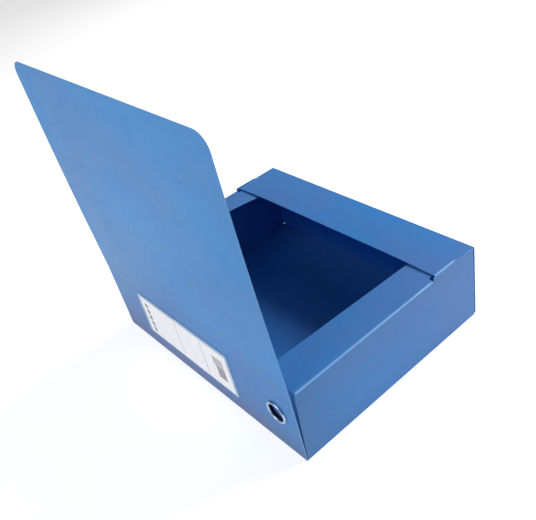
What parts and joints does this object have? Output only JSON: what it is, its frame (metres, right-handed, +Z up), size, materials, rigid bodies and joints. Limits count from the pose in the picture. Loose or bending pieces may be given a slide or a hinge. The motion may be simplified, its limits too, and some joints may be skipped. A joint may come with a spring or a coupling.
{
  "type": "archival box",
  "caption": "Document box folded from plastic sheet, with a hinged spine and cover, folded rim flaps, a metal finger ring and a label pocket.",
  "frame": {"origin": "centre of the footprint, at the underside of the base panel", "axes": "+X along the spine, with the finger ring at the +X end; +Y from the spine to the front wall; +Z up"},
  "size_m": [0.315, 0.2846, 0.3577],
  "materials": {
    "sheet_blue": "satin polypropylene sheet with a fine sand grain",
    "ring_metal": "bright nickel plate",
    "pocket_film": "clear film",
    "card_white": "printed card"
  },
  "bodies": {
    "box": {"base_panel": "sheet_blue", "front_wall": "sheet_blue", "left_wall": "sheet_blue", "right_wall": "sheet_blue", "front_flap": "sheet_blue", "left_flap": "sheet_blue", "right_flap": "sheet_blue", "left_tuck_tab": "sheet_blue", "right_tuck_tab": "sheet_blue", "left_corner_tab": "sheet_blue", "right_corner_tab": "sheet_blue"},
    "spine": {"spine_panel": "sheet_blue", "finger_ring": "ring_metal", "ring_washer": "ring_metal", "label_pocket": "pocket_film"},
    "cover": {"cover_panel": "sheet_blue"},
    "label": {"label_card": "card_white"}
  },
  "joints": [
    {"name": "spine_hinge", "type": "hinge", "parent": "box", "child": "spine", "pos_m": [0, -0.1304, 0.0006], "axis": [1, 0, 0], "range_deg": [-2.8, 85]},
    {"name": "cover_hinge", "type": "hinge", "parent": "spine", "child": "cover", "pos_m": [0, -0.13492, 0.09299], "axis": [1, 0, 0], "range_deg": [-91.1, 2]},
    {"name": "label_slide", "type": "slide", "parent": "spine", "child": "label", "axis": [-1, 0, 0], "range_m": [0, 0.15]}
  ]
}
